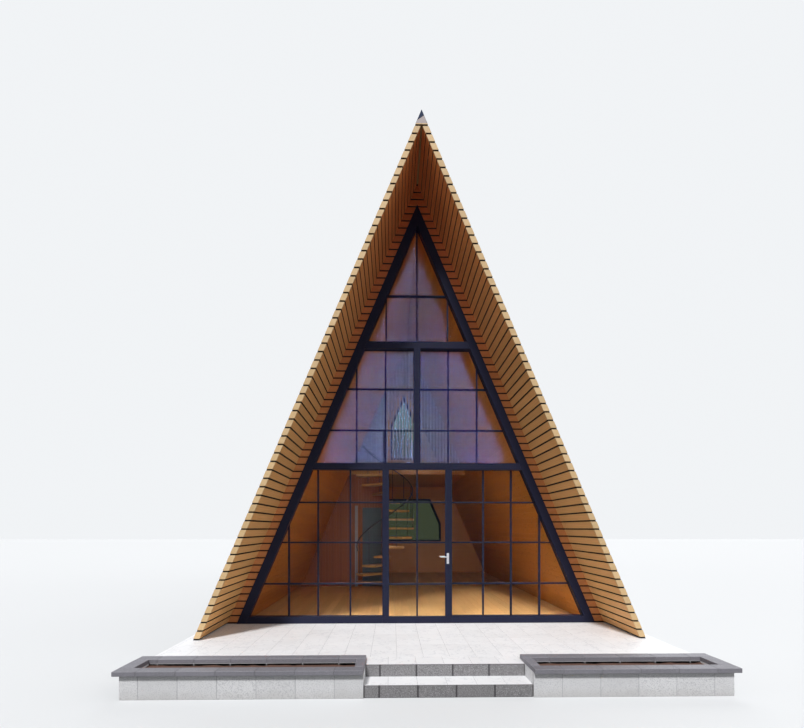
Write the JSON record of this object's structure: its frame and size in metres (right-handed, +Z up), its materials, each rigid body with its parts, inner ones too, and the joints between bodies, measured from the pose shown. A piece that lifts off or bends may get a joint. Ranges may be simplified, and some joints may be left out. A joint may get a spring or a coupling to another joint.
{
  "type": "a-frame cabin",
  "caption": "Steep gabled timber cabin on a plinth, with a glazed front gable and hinged glass door, deep roof overhangs, a raised terrace, steps and planters.",
  "frame": {"origin": "on the ground, on the centre line, below the front face of the glazing frame", "axes": "+Z up, +Y from the front gable to the rear wall, +X to the right of someone facing the door"},
  "size_m": [6.4608, 12.9, 7.379],
  "materials": {
    "concrete": "fine cast concrete",
    "terrace_tile": "matt pale tile",
    "granite": "honed dark granite",
    "planter_stone": "pale stone tile",
    "coping_stone": "honed dark stone",
    "soil": "loose garden soil",
    "roof_felt": "fine mineral-faced covering",
    "deck_timber": "dark stained",
    "soffit_timber": "oiled larch boards",
    "edge_timber": "sunlit oiled larch boards",
    "lining_timber": "varnished pine boards",
    "ridge_metal": "satin dark grey",
    "frame_metal": "satin blue-black powder coat",
    "glass": "clear double glazing",
    "silver": "satin",
    "floor_timber": "varnished boards",
    "partition_paint": "grey painted boards",
    "stair_metal": "satin dark grey"
  },
  "bodies": {
    "cabin": {"foundation_slab": "concrete", "floor_boards": "floor_timber", "terrace_slab": "concrete", "terrace_tiles": "terrace_tile", "step_risers": "granite", "lower_step": "concrete", "planter_walls": "planter_stone", "planter_soil": "soil", "planter_copings": "coping_stone", "left_roof_deck": "deck_timber", "right_roof_deck": "deck_timber", "roof_covering": "roof_felt", "front_soffit": "soffit_timber", "rear_soffit": "soffit_timber", "front_fascia": "edge_timber", "rear_fascia": "edge_timber", "left_roof_panel": "lining_timber", "right_roof_panel": "lining_timber", "ridge_beam": "edge_timber", "ridge_cap": "ridge_metal", "left_front_band": "soffit_timber", "right_front_band": "soffit_timber", "left_rake": "frame_metal", "right_rake": "frame_metal", "upper_transom": "frame_metal", "main_transom": "frame_metal", "centre_post": "frame_metal", "bottom_rails": "frame_metal", "left_door_post": "frame_metal", "right_door_post": "frame_metal", "threshold": "silver", "top_glass": "glass", "middle_glass": "glass", "lower_glass": "glass", "frame_hinges": "silver", "rear_wall": "soffit_timber", "rear_window_frames": "frame_metal", "rear_glass": "glass", "loft_floor": "floor_timber", "lower_partition": "lining_timber", "loft_partition": "partition_paint", "loft_screen": "floor_timber", "stair_pole": "stair_metal", "stair_treads": "floor_timber", "stair_balusters": "stair_metal", "stair_handrail": "stair_metal"},
    "door": {"door_leaf": "frame_metal", "door_glass": "glass", "door_plates": "silver", "leaf_hinges": "silver"},
    "lever": {"door_lever": "silver"}
  },
  "joints": [
    {"name": "door_hinge", "type": "hinge", "parent": "cabin", "child": "door", "pos_m": [-0.525, 0.085, 0.255], "axis": [0, 0, 1], "range_deg": [0, 100]},
    {"name": "lever_turn", "type": "hinge", "parent": "door", "child": "lever", "pos_m": [0.483, 0, 1.3], "axis": [0, -1, 0], "range_deg": [0, 40], "stiffness_Nm_per_rad": 2, "springref_deg": -14.32}
  ]
}
